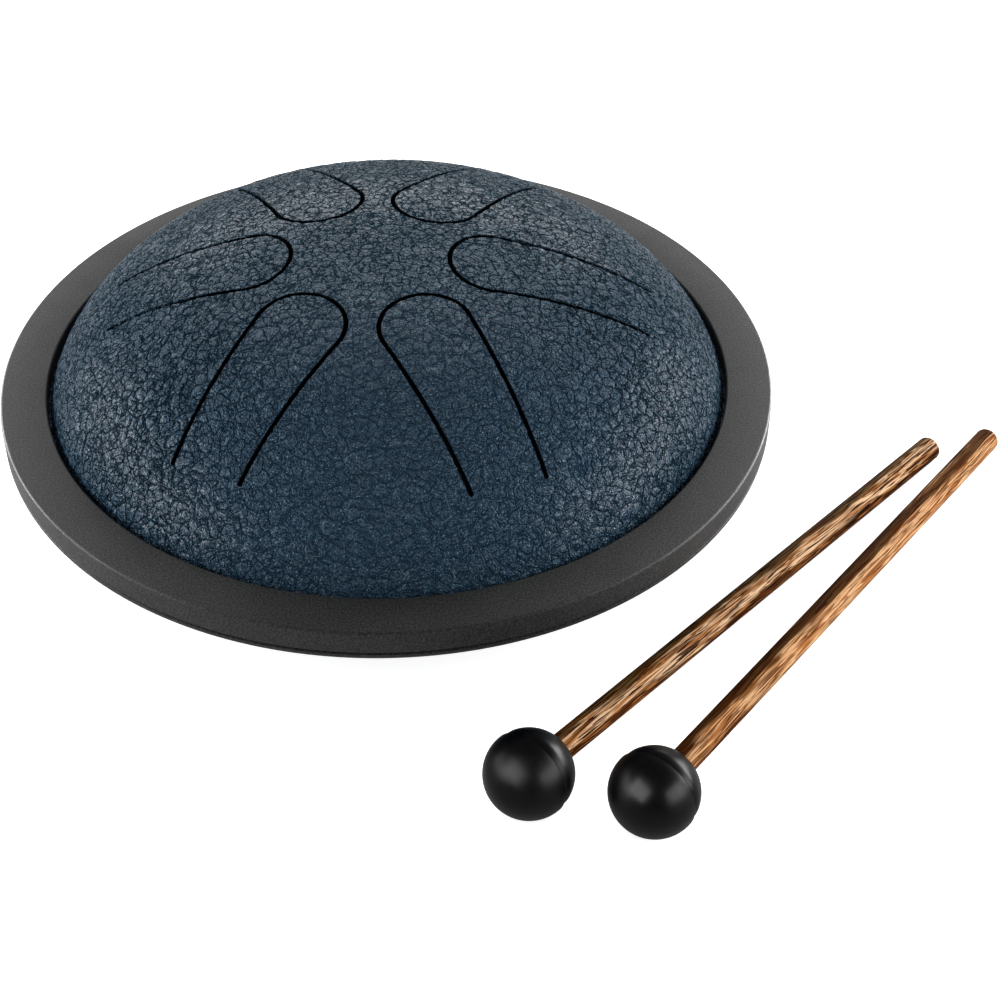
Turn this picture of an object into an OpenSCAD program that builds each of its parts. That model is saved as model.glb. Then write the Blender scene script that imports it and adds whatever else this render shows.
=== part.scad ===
// Steel tongue drum with two mallets.
// The origin is on the drum's axis, at the level of the surface that it stands on.
// +Z is up, and -Y is the side that a player faces. All lengths are in millimetres.

/* [Drum] */
// Diameter over the rubber rim
drum_d = 180; // [160:5:240]
// Rise of the dome above its flange
dome_h = 37.5; // [30:0.5:50]
// Depth of the dome curve's centre below its flange
dome_drop = 9.5; // [6:0.5:14]
// Fullness of the dome curve, where 2 is a plain ellipse
dome_power = 2.13; // [2:0.01:2.6]
// Depth of the bottom bowl, from its flange to its base
bowl_h = 22.4; // [18:0.2:32]
// Radius of the bowl's flat base
base_r = 50; // [47:1:55]
// Thickness of the steel sheet
sheet_t = 1.2; // [0.8:0.1:1.6]
// Thickness of the adhesive between the flanges
seam_t = 0.4; // [0.3:0.1:0.8]
// Diameter of the sound hole in the base
sound_hole_d = 42; // [30:1:60]

/* [Tongues] */
// Distance from the middle of the pattern to every tongue's tip
tip_r = 17.8; // [15:0.1:20]
// Distance from the dome's mouth to the root of the longest tongue
root_margin = 13.4; // [12:0.1:18]
// Width between the slots' centre lines behind the tip
tongue_w = 20.6; // [16:0.1:21]
// Width between the slots' centre lines at the root
root_w = 16.9; // [14:0.1:20]
// Length of the rounded tip
tip_round = 9.5; // [7:0.1:12]
// Width of the slots
slot_w = 1.1; // [0.8:0.1:1.6]
// Turn of the pattern about the dome
pattern_turn = -4.8; // [-30:0.1:30]
// Sideways shift of the pattern from the drum's axis
pattern_x = -3.4; // [-4:0.1:4]
// Forward or backward shift of the pattern from the drum's axis
pattern_y = -3.4; // [-4:0.1:4]

/* [Rim] */
// Width of the rim's flat top
rim_w = 10.6; // [9:0.1:14]
// Thickness of the rubber outside the flanges
rim_wall = 4.8; // [3.5:0.1:6]
// Thickness of the rubber over the flanges
rim_top_t = 3.3; // [2.5:0.1:5]
// Thickness of the rubber under the flanges
rim_bottom_t = 1.5; // [1.2:0.1:3]

/* [Feet] */
// Height of a foot under the base
foot_h = 3; // [2:0.5:6]
// Diameter of a foot
foot_d = 12; // [9:0.5:13]
// Diameter of the stem that passes through the base
stem_d = 5; // [4:0.2:6]
// Distance of the feet from the drum's axis
foot_place_r = 40; // [37.5:0.5:41]

/* [Mallets] */
// Diameter of a mallet's rubber head
head_d = 19; // [16:0.5:26]
// Diameter of a stick
stick_d = 6; // [5:0.5:8]
// Length from the middle of the head to the far end of the stick
reach = 152.4; // [120:1:190]
// Turn of the left mallet's stick from +X
left_turn = 44.9; // [35:0.1:50]
// Gap between the left stick's axis and the rim, seen from above
left_gap = 5.5; // [5:0.5:10]
// Distance of the left head before the stick's nearest point to the drum
left_lead = 59; // [50:1:70]
// Turn of the right mallet's stick from +X
right_turn = 49.8; // [45:0.1:55]
// Gap between the right stick's axis and the rim, seen from above
right_gap = 23; // [21:0.5:40]
// Distance of the right head before the stick's nearest point to the drum
right_lead = 55.6; // [50:1:70]

/* [Hidden] */

round_fn = 96;
curve_steps = 24;
corner_steps = 4;
tip_steps = 16;
overrun = 2;

// Heights of the stacked flanges, from the table up.
bowl_flange_z = foot_h + bowl_h;
seam_z = bowl_flange_z + sheet_t;
dome_flange_z = seam_z + seam_t;
flange_top_z = dome_flange_z + sheet_t;

// Clearances of the rim round the shells.
mouth_gap = 0.45;
flange_gap = 0.2;
seat_gap = 0.05;
rim_r = drum_d / 2;
rim_in_r = rim_r - rim_w;
mouth_r = rim_in_r - mouth_gap;
flange_r = rim_r - rim_wall - flange_gap;

// The dome is a curve of the form (r / a)^p + (z / c)^p = 1, turned about the axis.
dome_c = dome_h + dome_drop;
dome_a = mouth_r / pow(1 - pow(dome_drop / dome_c, dome_power), 1 / dome_power);
dome_centre_z = flange_top_z - dome_drop;

// The rim's small features.
rim_round = 0.7;
rim_foot_round = 0.5;
rim_inner_round = 0.4;
parting_z = 1.3;
parting_h = 0.4;
parting_depth = 0.3;

// A foot's small features.
foot_round = 0.8;
stem_gap = 0.1;
bead_over = 1.2;
bead_h = 2;
bead_lead = 0.8;
foot_turns = [-135, -45, 135, 45];

// Each tongue's length as a share of the longest one's, from the front left round to the left.
length_shares = [0.94, 1, 0.96, 0.853, 0.832, 0.864];
// How much sooner the slot on a tongue's clockwise side, or on its other side, ends than the tongue does,
// as a share of its length.
clockwise_cut_shares = [0, 0.036, 0.026, 0, 0, 0];
other_cut_shares = [0.02, 0, 0, 0, 0, 0];
longest = mouth_r - root_margin - tip_r;
tongue_step = 360 / len(length_shares);
first_turn = -120;
root_gap = 0.1;

// A mallet's small features.
bore_gap = 0.05;
bore_share = 0.35;
step_share = 0.15;
step_h = 0.12;
stick_round = 1;
inner_round = 0.5;

// Points of a quarter curve about (x, y), with half widths w and h, from one angle to another.
function quarter(x, y, w, h, from, to, steps) =
    [for (k = [0:steps]) let (t = from + (to - from) * k / steps) [x + w * cos(t), y + h * sin(t)]];

// Points of the dome curve from the axis to the height z, for half widths a and c.
function dome_curve(a, c, z) =
    let (last = asin(pow((z - dome_centre_z) / c, dome_power / 2)))
    [for (k = [0:curve_steps]) let (t = 90 + (last - 90) * k / curve_steps)
        [a * pow(max(cos(t), 0), 2 / dome_power), dome_centre_z + c * pow(sin(t), 2 / dome_power)]];

function reversed(points) = [for (k = [len(points) - 1:-1:0]) points[k]];

function tongue_len(i) = longest * length_shares[i];

// Where a tongue's two slots end, from the middle of the pattern, first on its clockwise side.
function slot_ends(i) =
    [for (cut = [clockwise_cut_shares[i], other_cut_shares[i]]) tip_r + tongue_len(i) * (1 - cut)];

// The whole pressing of the dome, with its flange and no slots.
module dome_pressing() {
    outer = dome_curve(dome_a, dome_c, flange_top_z);
    inner = dome_curve(dome_a - sheet_t, dome_c - sheet_t, dome_flange_z);
    rotate_extrude($fn = round_fn)
        polygon(concat(outer, [[flange_r, flange_top_z], [flange_r, dome_flange_z]], reversed(inner)));
}

// Plan of a tongue, pointing outwards along +X, whose root runs between the ends of its slots.
// Grow moves its edge out from the slots' centre line, and gap moves its root.
module tongue_plan(i, grow, gap) {
    ends = slot_ends(i);
    root_x = (ends[0] + ends[1]) / 2;
    slant = (ends[1] - ends[0]) / root_w;
    tip_x = tip_r + tip_round;
    half_w = tongue_w / 2 + grow;
    half_root = root_w / 2 + grow;
    polygon(concat(
        quarter(tip_x, 0, tip_round + grow, half_w, 90, 270, tip_steps),
        [for (y = [-half_root, half_root]) [root_x + slant * y + gap, y]]
    ));
}

module at_tongue(i) {
    translate([pattern_x, pattern_y, dome_flange_z])
        rotate([0, 0, first_turn + pattern_turn + tongue_step * i])
            children();
}

// The opening that a tongue leaves in the dome: its slot, with round ends, and its own place.
module tongue_opening(i) {
    ends = slot_ends(i);
    at_tongue(i) {
        linear_extrude(height = dome_h + overrun)
            tongue_plan(i, slot_w / 2, root_gap);
        for (k = [0, 1])
            translate([ends[k], (k - 1 / 2) * root_w, 0])
                cylinder(h = dome_h + overrun, d = slot_w, $fn = round_fn);
    }
}

module top_shell() {
    color("#22384f")
        difference() {
            dome_pressing();
            for (i = [0:len(length_shares) - 1])
                tongue_opening(i);
        }
}

module tongue(i) {
    color("#28415b")
        intersection() {
            dome_pressing();
            at_tongue(i)
                linear_extrude(height = dome_h + overrun)
                    tongue_plan(i, -slot_w / 2, 0);
        }
}

module bottom_shell() {
    shoulder_w = mouth_r - base_r;
    outer = quarter(base_r, bowl_flange_z, shoulder_w, bowl_h, -90, 0, curve_steps);
    inner = quarter(base_r, bowl_flange_z, shoulder_w - sheet_t, bowl_h - sheet_t, -90, 0, curve_steps);
    color("#1d2c3d")
        difference() {
            rotate_extrude($fn = round_fn)
                polygon(concat(
                    [[sound_hole_d / 2, foot_h]], outer,
                    [[flange_r, bowl_flange_z], [flange_r, seam_z], [mouth_r - sheet_t, seam_z]],
                    reversed(inner), [[sound_hole_d / 2, foot_h + sheet_t]]
                ));
            for (turn = foot_turns)
                rotate([0, 0, turn])
                    translate([foot_place_r, 0, foot_h - overrun])
                        cylinder(h = sheet_t + 2 * overrun, d = stem_d + 2 * stem_gap, $fn = round_fn);
        }
}

module seam_adhesive() {
    color("#6b6b66")
        rotate_extrude($fn = round_fn)
            translate([mouth_r, seam_z])
                square([flange_r - mouth_r - flange_gap, seam_t]);
}

module rim() {
    low_z = bowl_flange_z - rim_bottom_t;
    top_z = flange_top_z + rim_top_t;
    channel_r = flange_r + flange_gap;
    color("#39393b")
        rotate_extrude($fn = round_fn)
            polygon(concat(
                [[rim_in_r, low_z]],
                quarter(rim_r - rim_foot_round, low_z + rim_foot_round, rim_foot_round, rim_foot_round,
                    -90, 0, corner_steps),
                [[rim_r, low_z + parting_z], [rim_r - parting_depth, low_z + parting_z + parting_h / 2],
                    [rim_r, low_z + parting_z + parting_h]],
                quarter(rim_r - rim_round, top_z - rim_round, rim_round, rim_round, 0, 90, corner_steps),
                quarter(rim_in_r + rim_inner_round, top_z - rim_inner_round, rim_inner_round,
                    rim_inner_round, 90, 180, corner_steps),
                [[rim_in_r, flange_top_z + seat_gap], [channel_r, flange_top_z + seat_gap],
                    [channel_r, bowl_flange_z - seat_gap], [rim_in_r, bowl_flange_z - seat_gap]]
            ));
}

module foot(i) {
    foot_r = foot_d / 2;
    stem_r = stem_d / 2;
    bead_z = foot_h + sheet_t + seat_gap;
    color("#1b1b1c")
        rotate([0, 0, foot_turns[i]])
            translate([foot_place_r, 0, 0])
                rotate_extrude($fn = round_fn)
                    polygon(concat(
                        [[0, 0]],
                        quarter(foot_r - foot_round, foot_round, foot_round, foot_round, -90, 0, corner_steps),
                        [[foot_r, foot_h], [stem_r, foot_h], [stem_r, bead_z], [stem_r + bead_over, bead_z],
                            [stem_r + bead_over - bead_lead, bead_z + bead_h], [0, bead_z + bead_h]]
                    ));
}

// A mallet lies with its head and the rounded corner of its stick's far end on the table.
module lay_mallet(turn, gap, lead) {
    head_r = head_d / 2;
    run = reach - stick_round;
    drop = stick_d / 2 - stick_round;
    dip = asin((head_r - stick_round) / norm([run, drop])) - atan2(drop, run);
    rotate([0, 0, turn])
        translate([-lead, -rim_r - gap, head_r])
            rotate([0, dip, 0])
                children();
}

module stick() {
    stick_r = stick_d / 2;
    start = -bore_share * head_d;
    color("#a0683a")
        rotate([0, 90, 0])
            rotate_extrude($fn = round_fn)
                polygon(concat(
                    [[0, start]],
                    quarter(stick_r - inner_round, start + inner_round, inner_round, inner_round,
                        -90, 0, corner_steps),
                    quarter(stick_r - stick_round, reach - stick_round, stick_round, stick_round,
                        0, 90, corner_steps),
                    [[0, reach]]
                ));
}

// The ball is moulded in two halves, and the half on the stick's side is a little smaller.
module head() {
    head_r = head_d / 2;
    bore_r = stick_d / 2 + bore_gap;
    step_x = step_share * head_r;
    color("#151516")
        rotate([0, 90, 0])
            difference() {
                union() {
                    intersection() {
                        sphere(r = head_r, $fn = round_fn);
                        translate([0, 0, -head_r])
                            cylinder(h = head_r + step_x, r = head_r + overrun, $fn = round_fn);
                    }
                    sphere(r = head_r - step_h, $fn = round_fn);
                }
                translate([0, 0, -bore_share * head_d - bore_gap])
                    cylinder(h = 2 * head_r, r = bore_r, $fn = round_fn);
            }
}

top_shell();
tongue(0);  // tongue_front_left
tongue(1);  // tongue_front_right
tongue(2);  // tongue_right
tongue(3);  // tongue_back_right
tongue(4);  // tongue_back_left
tongue(5);  // tongue_left
bottom_shell();
seam_adhesive();
rim();
foot(0);  // foot_front_left
foot(1);  // foot_front_right
foot(2);  // foot_back_left
foot(3);  // foot_back_right
lay_mallet(left_turn, left_gap, left_lead) stick();  // stick_left
lay_mallet(left_turn, left_gap, left_lead) head();  // head_left
lay_mallet(right_turn, right_gap, right_lead) stick();  // stick_right
lay_mallet(right_turn, right_gap, right_lead) head();  // head_right
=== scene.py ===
# %% [markdown]
# # A small steel tongue drum with two mallets
# The drum is a domed steel shell with six slotted tongues, glued to a steel bowl, with a rubber rim round
# the seam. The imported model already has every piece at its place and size. This lesson gives each piece that
# shows the finer shape and the finish of a real drum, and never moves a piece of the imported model.

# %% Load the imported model
import math

import bpy
from mathutils import Matrix, Vector


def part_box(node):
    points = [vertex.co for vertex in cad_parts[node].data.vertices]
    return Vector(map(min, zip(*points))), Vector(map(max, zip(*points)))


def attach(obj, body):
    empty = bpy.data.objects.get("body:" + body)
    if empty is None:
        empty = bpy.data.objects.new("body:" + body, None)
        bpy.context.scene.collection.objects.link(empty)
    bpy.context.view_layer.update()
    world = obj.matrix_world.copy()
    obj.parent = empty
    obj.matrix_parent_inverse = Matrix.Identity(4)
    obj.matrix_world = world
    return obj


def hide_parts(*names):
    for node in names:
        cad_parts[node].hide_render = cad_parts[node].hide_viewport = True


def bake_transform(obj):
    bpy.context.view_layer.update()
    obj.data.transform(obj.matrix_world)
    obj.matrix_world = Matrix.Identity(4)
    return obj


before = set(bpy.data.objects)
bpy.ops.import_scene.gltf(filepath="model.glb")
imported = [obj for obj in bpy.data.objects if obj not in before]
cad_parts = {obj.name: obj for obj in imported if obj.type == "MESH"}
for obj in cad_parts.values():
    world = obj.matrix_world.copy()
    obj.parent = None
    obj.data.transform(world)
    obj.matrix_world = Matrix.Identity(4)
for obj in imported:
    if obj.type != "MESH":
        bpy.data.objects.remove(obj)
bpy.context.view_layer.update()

# %% [markdown]
# ## The drum's sizes
# What the frame can tell is read from the boxes of its nodes, so the finer pieces always fit it. The rest are
# the drum's own small sizes. Everything in Blender is in metres, so millimetres are multiplied by MM.

# %% Read the sizes from the frame
MM = 0.001
sheet_t = 1.2 * MM
rim_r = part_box("rim")[1].y
rim_w = 10.6 * MM
rim_in_r = rim_r - rim_w
mouth_gap = 0.45 * MM
mouth_r = rim_in_r - mouth_gap
flange_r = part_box("top_shell")[1].y
dome_flange_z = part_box("seam_adhesive")[1].z
flange_top_z = dome_flange_z + sheet_t
seam_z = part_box("seam_adhesive")[0].z
apex_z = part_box("top_shell")[1].z
base_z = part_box("bottom_shell")[0].z
bowl_flange_z = seam_z - sheet_t
print("rim radius in mm:", round(rim_r / MM, 2), "top of the dome:", round(apex_z / MM, 2))

# %% The dome's curve
# The dome's section is a little fuller than an oval, and the oval's middle lies below the flange.
dome_drop = 9.5 * MM
dome_power = 2.13
dome_centre_z = flange_top_z - dome_drop
dome_c = apex_z - dome_centre_z
dome_a = mouth_r / (1 - (dome_drop / dome_c) ** dome_power) ** (1 / dome_power)


def dome_curve(a, c, low_z, steps):
    """Points (r, z) of the curve (r / a) ** p + (z / c) ** p = 1, from the axis down to the height low_z."""
    last = math.asin(((low_z - dome_centre_z) / c) ** (dome_power / 2))
    points = []
    for k in range(steps + 1):
        t = math.pi / 2 + (last - math.pi / 2) * k / steps
        r = a * max(math.cos(t), 0) ** (2 / dome_power)
        points.append((r, dome_centre_z + c * math.sin(t) ** (2 / dome_power)))
    return points


print("half width of the dome's curve in mm:", round(dome_a / MM, 2))

# %% [markdown]
# ## Drawing and turning
# Most of the drum is turned or pressed round one axis. A profile is drawn by extruding a single vertex from
# point to point, and the Screw modifier carries it round. Spin does the same, but it copies the line step by
# step and takes half a minute over 512 steps.

# %% Helpers for profiles
# Points that are closer together than this are made one.
weld = 0.002 * MM


def mode(name):
    """Goes to object mode or to edit mode."""
    bpy.ops.object.mode_set(mode=name)


def deselect():
    """Object mode with nothing selected, because every operator acts on all that is selected."""
    if bpy.context.object and bpy.context.object.mode != "OBJECT":
        mode("OBJECT")
    bpy.ops.object.select_all(action="DESELECT")


def pick(piece):
    """Selects this piece alone and makes it the active one."""
    deselect()
    piece.select_set(True)
    bpy.context.view_layer.objects.active = piece


def face_outwards():
    """Turns every face of the mesh in edit mode outwards."""
    bpy.ops.mesh.select_all(action="SELECT")
    bpy.ops.mesh.normals_make_consistent(inside=False)


def arc(x, z, w, h, first, last, steps):
    """Points of a round or oval corner about (x, z), between two angles in degrees."""
    turns = [math.radians(first + (last - first) * k / steps) for k in range(steps + 1)]
    return [(x + w * math.cos(t), z + h * math.sin(t)) for t in turns]


def draw(name, points):
    """A new mesh with one line through the points. It stays in edit mode, all selected."""
    deselect()
    bpy.ops.mesh.primitive_plane_add(size=MM)
    piece = bpy.context.object
    piece.name = name
    mode("EDIT")
    bpy.ops.mesh.select_mode(type="VERT")
    bpy.ops.mesh.select_all(action="SELECT")
    bpy.ops.mesh.merge(type="CENTER")
    bpy.ops.transform.translate(value=points[0])
    for here, there in zip(points, points[1:]):
        step = Vector(there) - Vector(here)
        bpy.ops.mesh.extrude_vertices_move(TRANSFORM_OT_translate={"value": step})
    bpy.ops.mesh.select_all(action="SELECT")
    return piece


def apply(piece, kind, **values):
    """Adds a modifier, sets its values and applies it."""
    pick(piece)
    bpy.ops.object.modifier_add(type=kind)
    modifier = piece.modifiers[-1]
    for key, value in values.items():
        setattr(modifier, key, value)
    bpy.ops.object.modifier_apply(modifier=modifier.name)


def turned(name, profile, steps):
    """A piece turned round Z from a profile of (r, z) points, closed where its ends meet."""
    piece = draw(name, [(r, 0, z) for r, z in profile])
    bpy.ops.mesh.remove_doubles(threshold=weld)
    mode("OBJECT")
    welded = {"use_merge_vertices": True, "merge_threshold": weld}
    apply(piece, "SCREW", steps=steps, render_steps=steps, **welded)
    mode("EDIT")
    face_outwards()
    mode("OBJECT")
    return piece


def copy_of(piece, name):
    """A copy with its own mesh."""
    deselect()
    twin = piece.copy()
    twin.data = piece.data.copy()
    twin.name = name
    bpy.context.scene.collection.objects.link(twin)
    return twin


def throw_away(*pieces):
    """Removes what only helped to shape something."""
    for piece in pieces:
        bpy.data.objects.remove(piece)


# %% [markdown]
# ## The wrinkle
# The drum wears a thick powder coat that shrinks in the oven into leathery cells with creases between them.
# A bump in the material could show them, but it would leave the dome's outline perfectly smooth. So the broad
# cells are real relief: geometry nodes lift the skin by the same pattern that the coat's material uses later.
# One function builds the nodes in both trees, so they agree.

# %% Helpers for nodes
def feed(tree, socket, source):
    """Links a socket to another one's output, or sets it to a value."""
    if isinstance(source, bpy.types.NodeSocket):
        tree.links.new(source, socket)
    else:
        socket.default_value = source


def node(tree, kind, feeds=None, **settings):
    """A new node. Settings go on it, and feeds maps an input's name or number to a value or a socket."""
    made = tree.nodes.new(kind)
    for key, value in settings.items():
        setattr(made, key, value)
    for key, source in (feeds or {}).items():
        feed(tree, made.inputs[key], source)
    return made


def maths(tree, operation, a, b=0.0, c=0.0):
    """The result of one Math node."""
    return node(tree, "ShaderNodeMath", {0: a, 1: b, 2: c}, operation=operation).outputs[0]


def vectors(tree, operation, feeds):
    """The vector that one Vector Math node gives."""
    return node(tree, "ShaderNodeVectorMath", feeds, operation=operation).outputs[0]


def far_from_zero(tree, x, y):
    """How far the point (x, y) is from zero."""
    squares = maths(tree, "MULTIPLY_ADD", x, x, maths(tree, "POWER", y, 2))
    return maths(tree, "SQRT", squares)


def ramp(tree, value, low, high, out_low=0.0, out_high=1.0):
    """A smooth step from out_low to out_high, as the value goes from low to high."""
    feeds = {"Value": value, "From Min": low, "From Max": high, "To Min": out_low, "To Max": out_high}
    return node(tree, "ShaderNodeMapRange", feeds, interpolation_type="SMOOTHSTEP").outputs["Result"]


def noise(tree, place, size, detail=2.0, roughness=0.5):
    """Noise whose blotches are about that size, in the units of the place. It runs from 0 to 1."""
    feeds = {"Vector": place, "Scale": 1 / size, "Detail": detail, "Roughness": roughness}
    return node(tree, "ShaderNodeTexNoise", feeds).outputs["Fac"]


def shifted(tree, place, size, reach):
    """The place, pushed about by noise of that size, by up to half of reach each way."""
    feeds = {"Vector": place, "Scale": 1 / size, "Detail": 2.0}
    push = node(tree, "ShaderNodeTexNoise", feeds).outputs["Color"]
    centred = vectors(tree, "SUBTRACT", {0: push, 1: (0.5, 0.5, 0.5)})
    return vectors(tree, "MULTIPLY_ADD", {0: centred, 1: (reach, reach, reach), 2: place})


def cell_edge(tree, place, size):
    """How far a point lies from the nearest border of its cell, as a share of the cells' size."""
    feeds = {"Vector": place, "Scale": 1 / size}
    return node(tree, "ShaderNodeTexVoronoi", feeds, feature="DISTANCE_TO_EDGE").outputs["Distance"]


# %% The cells of the coat
# Sizes of the pattern, in millimetres. Broad folds stretch some cells and crowd others, and a finer push
# bends each border.
cell_size = 2.6
cell_warp_size = 2.4
cell_warp = 1.7
fold_size = 7.0
fold_warp = 5.0


def coat_cells(tree, position):
    """The place in millimetres and the share of the way into the nearest leathery cell."""
    place = vectors(tree, "SCALE", {0: position, "Scale": 1 / MM})
    folded = shifted(tree, place, fold_size, fold_warp)
    bent = shifted(tree, folded, cell_warp_size, cell_warp)
    return place, cell_edge(tree, bent, cell_size)


# %% Lift the skin by its cells
# A cell rises from its border to its middle. The flanges and the edges beside them stay flat.
relief_h = 0.2 * MM
sunk_share = 0.7
raised_share = 0.3
slope_share = 0.28
flat_h = 2 * MM
full_relief_h = 4 * MM

relief = bpy.data.node_groups.new("coat_relief", "GeometryNodeTree")
relief.interface.new_socket("Geometry", in_out="INPUT", socket_type="NodeSocketGeometry")
relief.interface.new_socket("Geometry", in_out="OUTPUT", socket_type="NodeSocketGeometry")
skin_in = relief.nodes.new("NodeGroupInput").outputs[0]
position = relief.nodes.new("GeometryNodeInputPosition").outputs[0]
position_z = node(relief, "ShaderNodeSeparateXYZ", {0: position}).outputs["Z"]
edge = coat_cells(relief, position)[1]
pillow = ramp(relief, edge, 0.0, slope_share, -sunk_share * relief_h, raised_share * relief_h)
flange_middle_z = (flange_top_z + bowl_flange_z) / 2
away = maths(relief, "ABSOLUTE", maths(relief, "SUBTRACT", position_z, flange_middle_z))
fade = ramp(relief, away, flat_h, full_relief_h)
normal = relief.nodes.new("GeometryNodeInputNormal").outputs[0]
lift = maths(relief, "MULTIPLY", pillow, fade)
offset = vectors(relief, "SCALE", {0: normal, "Scale": lift})
lifted = node(relief, "GeometryNodeSetPosition", {"Geometry": skin_in, "Offset": offset}).outputs[0]
relief.links.new(lifted, relief.nodes.new("NodeGroupOutput").inputs[0])
print("nodes of the relief:", len(relief.nodes))

# %% [markdown]
# ## Pressing a shell
# The real shells are pressed from flat sheet over a form. Here a ball with evenly spread faces is pressed
# onto a turned form by Shrinkwrap. A turned shell would crowd its faces at the axis and starve the wall, and
# the wrinkles need faces of one size everywhere. Then the skin is trimmed at its mouth, and its edge is
# extruded into the flange. The relief goes on before the inner wall is joined, so the inside stays smooth.

# %% Joining and selecting
def on_edges(piece):
    """Edit mode in edge selection, with nothing selected."""
    pick(piece)
    mode("EDIT")
    bpy.ops.mesh.select_mode(type="EDGE")
    bpy.ops.mesh.select_all(action="DESELECT")


def join(pieces):
    """One mesh of all the pieces, under the first one's name."""
    deselect()
    for piece in pieces:
        piece.select_set(True)
    bpy.context.view_layer.objects.active = pieces[0]
    bpy.ops.object.join()
    return pieces[0]


# %% A ball of evenly spread faces
def ball(name, cuts, wide, high, middle_z):
    """A cube cut into a fine grid, rounded to a ball, flattened and moved up. It stays in edit mode."""
    deselect()
    bpy.ops.mesh.primitive_cube_add(size=2)
    piece = bpy.context.object
    piece.name = name
    mode("EDIT")
    bpy.ops.mesh.select_all(action="SELECT")
    # Subdivide makes at most 100 cuts at a time, so a second call halves the faces once more.
    bpy.ops.mesh.subdivide(number_cuts=cuts)
    bpy.ops.mesh.subdivide(number_cuts=1)
    bpy.ops.transform.tosphere(value=1)
    mode("OBJECT")
    r = piece.data.vertices[0].co.length
    mode("EDIT")
    bpy.ops.transform.resize(value=(wide / r, wide / r, high / r), center_override=(0, 0, 0))
    bpy.ops.transform.translate(value=(0, 0, middle_z))
    return piece


# %% A pressed shell
form_steps = 512
wall_steps = 192
cut_precision = 0.001 * MM
# The ball is halved this far from its middle, so that all that is left of it lies over the form.
half_margin = 1 * MM


def pressing(name, outer, inner, cuts, flange_z, inner_flange_z):
    """A shell from its outer profile, which runs a little past the mouth, and its inner one."""
    form = turned("form", outer, form_steps)
    form_r, middle_z = outer[-1]
    up = 1 if outer[0][1] > middle_z else -1
    skin = ball(name, cuts, form_r, abs(outer[0][1] - middle_z), middle_z)
    trim = {"plane_no": (0, 0, up), "clear_inner": True, "threshold": cut_precision}
    bpy.ops.mesh.bisect(plane_co=(0, 0, middle_z + up * half_margin), **trim)
    mode("OBJECT")
    apply(skin, "SHRINKWRAP", target=form, wrap_method="NEAREST_SURFACEPOINT")
    throw_away(form)
    on_edges(skin)
    bpy.ops.mesh.select_all(action="SELECT")
    bpy.ops.mesh.bisect(plane_co=(0, 0, flange_z), **trim)
    bpy.ops.mesh.extrude_edges_move()
    widening = flange_r / mouth_r
    bpy.ops.transform.resize(value=(widening, widening, 1), center_override=(0, 0, flange_z))
    face_outwards()
    mode("OBJECT")
    apply(skin, "NODES", node_group=relief)
    wall = turned("wall", inner + [(flange_r, inner_flange_z)], wall_steps)
    join([skin, wall])
    on_edges(skin)
    bpy.ops.mesh.select_non_manifold()
    bpy.ops.mesh.bridge_edge_loops()
    face_outwards()
    mode("OBJECT")
    print(name, "has", len(skin.data.polygons), "faces")
    return skin


# %% Press the dome
outer_steps = 160
inner_steps = 32
dome_cuts = 94

dome_outer = dome_curve(dome_a, dome_c, dome_centre_z, outer_steps)
dome_inner = dome_curve(dome_a - sheet_t, dome_c - sheet_t, dome_flange_z, inner_steps)
blank = pressing("blank", dome_outer, dome_inner, dome_cuts, flange_top_z, dome_flange_z)

# %% [markdown]
# ## Slots and tongues
# A laser cuts six U-shaped slots, and each leaves a tongue that is still joined at its root. The frame moves
# each tongue on its own, so each is a piece here too. Tongues modelled one by one would break the coat's
# pattern at their roots. So one blank is cut twice: what is outside the slots is the shell, and what is
# inside them is the tongues, and the coat runs on across every root.

# %% The outlines of a tongue
# Radii run from the middle of the pattern, which lies a little to the left and in front of the drum's axis.
# The margin stays between the longest slot and the mouth.
tip_r = 17.8 * MM
tip_round = 9.5 * MM
tongue_w = 20.6 * MM
root_w = 16.9 * MM
slot_w = 1.1 * MM
root_margin = 13.4 * MM
longest = mouth_r - root_margin - tip_r
length_shares = {"front_left": 0.94, "front_right": 1.0, "right": 0.96}
length_shares.update({"back_right": 0.853, "back_left": 0.832, "left": 0.864})
# How much sooner the slot on a tongue's clockwise side, or on its other side, ends than the tongue does.
clockwise_cut_shares = {"front_right": 0.036, "right": 0.026}
other_cut_shares = {"front_left": 0.02}
first_turn = -124.8
pattern_x = -3.4 * MM
pattern_y = -3.4 * MM
tip_steps = 48
end_steps = 10


def slot_ends(name):
    """How far the two slots' ends are from the middle of the pattern, the clockwise one first."""
    length = longest * length_shares[name]
    cuts = (clockwise_cut_shares.get(name, 0), other_cut_shares.get(name, 0))
    return [tip_r + length * (1 - cut) for cut in cuts]


def root_of(name):
    """How far the middle of the tongue's root is from the middle of the pattern."""
    return sum(slot_ends(name)) / 2


def tongue_outline(name):
    """The tongue's own outline, pointing along +X, half a slot inside the slot's centre line."""
    half = slot_w / 2
    half_root = root_w / 2 - half
    ends = slot_ends(name)
    slant = (ends[1] - ends[0]) / root_w
    tip = arc(tip_r + tip_round, 0, tip_round - half, tongue_w / 2 - half, 90, 270, tip_steps)
    return tip + [(root_of(name) + slant * y, y) for y in (-half_root, half_root)]


def opening_outline(name):
    """The outline of the hole in the shell, with the slot's round ends beside the root."""
    half = slot_w / 2
    ends = slot_ends(name)
    tip = arc(tip_r + tip_round, 0, tip_round + half, tongue_w / 2 + half, 90, 270, tip_steps)
    low_end = arc(ends[0], -root_w / 2, half, half, -90, 90, end_steps)
    high_end = arc(ends[1], root_w / 2, half, half, -90, 90, end_steps)
    return tip + low_end + high_end


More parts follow.
